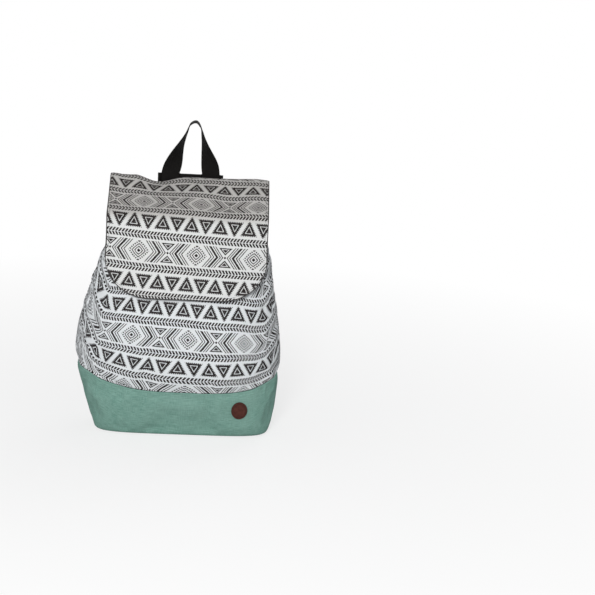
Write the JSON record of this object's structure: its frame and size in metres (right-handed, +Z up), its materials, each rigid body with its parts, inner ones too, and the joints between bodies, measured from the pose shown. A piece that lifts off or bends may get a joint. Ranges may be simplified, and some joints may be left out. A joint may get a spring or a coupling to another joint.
{
  "type": "backpack",
  "caption": "Soft canvas backpack with a fold-over flap over a zip, a webbing strap that makes the top loop and both shoulder runs, and snap hooks on lower rings.",
  "frame": {"origin": "on the floor below the middle of the whole bag's box", "axes": "+Z up, the flap's front faces -Y, the shoulder runs are at +Y, +X to the right seen from the front"},
  "size_m": [0.3324, 0.2136, 0.5105],
  "materials": {
    "print_cloth": "printed cotton canvas, dark traditional ornament rows on an off-white ground",
    "green_canvas": "heathered grey-green canvas with fine slubs",
    "lining_cloth": "plain dark woven lining",
    "webbing": "black ribbed synthetic webbing",
    "patch_leather": "reddish brown leather, bare",
    "zip_tape": "black woven tape with dark moulded teeth",
    "nickel": "nickel-plated cast metal"
  },
  "bodies": {
    "bag": {"upper_pouch": "print_cloth", "lower_pouch": "green_canvas", "lining": "lining_cloth", "flap": "print_cloth", "flap_lining": "lining_cloth", "strap": "webbing", "strap_band": "webbing", "leather_patch": "patch_leather", "zip_tape_front": "zip_tape", "zip_tape_back": "zip_tape", "lower_tab_left": "webbing", "lower_tab_right": "webbing", "top_tab_left": "webbing", "top_tab_right": "webbing", "slide_adjuster": "nickel"},
    "zip_slider_body": {"zip_slider": "nickel"},
    "zip_pull_body": {"zip_pull": "nickel"},
    "lower_ring_left_body": {"lower_ring_left": "nickel"},
    "lower_ring_right_body": {"lower_ring_right": "nickel"},
    "top_ring_left_body": {"top_ring_left": "nickel"},
    "top_ring_right_body": {"top_ring_right": "nickel"},
    "hook_frame_left_body": {"hook_frame_left": "nickel"},
    "hook_frame_right_body": {"hook_frame_right": "nickel"},
    "hook_left_body": {"hook_left": "nickel", "gate_pin_left": "nickel"},
    "hook_right_body": {"hook_right": "nickel", "gate_pin_right": "nickel"},
    "hook_gate_left_body": {"hook_gate_left": "nickel"},
    "hook_gate_right_body": {"hook_gate_right": "nickel"}
  },
  "joints": [
    {"name": "zip_slide", "type": "slide", "parent": "bag", "child": "zip_slider_body", "axis": [-1, 0, 0], "range_m": [0, 0.135], "deforming": ["zip_tape_front", "zip_tape_back"]},
    {"name": "zip_pull_hinge", "type": "hinge", "parent": "zip_slider_body", "child": "zip_pull_body", "pos_m": [0.08314, -0.03251, 0.38157], "axis": [0, 0.871, 0.4913], "range_deg": [0, 20]},
    {"name": "lower_ring_left_hinge", "type": "hinge", "parent": "bag", "child": "lower_ring_left_body", "pos_m": [-0.09571, 0.04048, 0.046], "axis": [0.9899, 0.1418, 0], "range_deg": [-5, 5]},
    {"name": "hook_frame_left_hinge", "type": "hinge", "parent": "bag", "child": "hook_frame_left_body", "pos_m": [-0.10101, 0.07744, 0.09297], "axis": [0.9937, -0.0001, 0.1121], "range_deg": [-2, 3]},
    {"name": "hook_left_swivel", "type": "hinge", "parent": "hook_frame_left_body", "child": "hook_left_body", "pos_m": [-0.0996, 0.06758, 0.08044], "axis": [-0.0882, 0.616, 0.7828], "range_deg": [-15, 15]},
    {"name": "hook_gate_left_hinge", "type": "hinge", "parent": "hook_left_body", "child": "hook_gate_left_body", "pos_m": [-0.09987, 0.06947, 0.06999], "axis": [-0.9899, -0.1418, 0], "range_deg": [0, 28], "stiffness_Nm_per_rad": 0.01, "springref_deg": -17.19},
    {"name": "top_ring_left_hinge", "type": "hinge", "parent": "bag", "child": "top_ring_left_body", "pos_m": [-0.09316, -0.03302, 0.38248], "axis": [0, -0.871, -0.4913], "range_deg": [0, 20]},
    {"name": "lower_ring_right_hinge", "type": "hinge", "parent": "bag", "child": "lower_ring_right_body", "pos_m": [0.11339, 0.04048, 0.046], "axis": [0.9899, -0.1418, 0], "range_deg": [-5, 5]},
    {"name": "hook_frame_right_hinge", "type": "hinge", "parent": "bag", "child": "hook_frame_right_body", "pos_m": [0.11868, 0.07744, 0.09297], "axis": [0.9937, 0.0001, -0.1121], "range_deg": [-2, 3]},
    {"name": "hook_right_swivel", "type": "hinge", "parent": "hook_frame_right_body", "child": "hook_right_body", "pos_m": [0.11727, 0.06758, 0.08044], "axis": [0.0882, 0.616, 0.7828], "range_deg": [-15, 15]},
    {"name": "hook_gate_right_hinge", "type": "hinge", "parent": "hook_right_body", "child": "hook_gate_right_body", "pos_m": [0.11754, 0.06947, 0.06999], "axis": [-0.9899, 0.1418, 0], "range_deg": [0, 28], "stiffness_Nm_per_rad": 0.01, "springref_deg": -17.19},
    {"name": "top_ring_right_hinge", "type": "hinge", "parent": "bag", "child": "top_ring_right_body", "pos_m": [0.11084, -0.03302, 0.38248], "axis": [0, 0.871, 0.4913], "range_deg": [0, 20]}
  ]
}
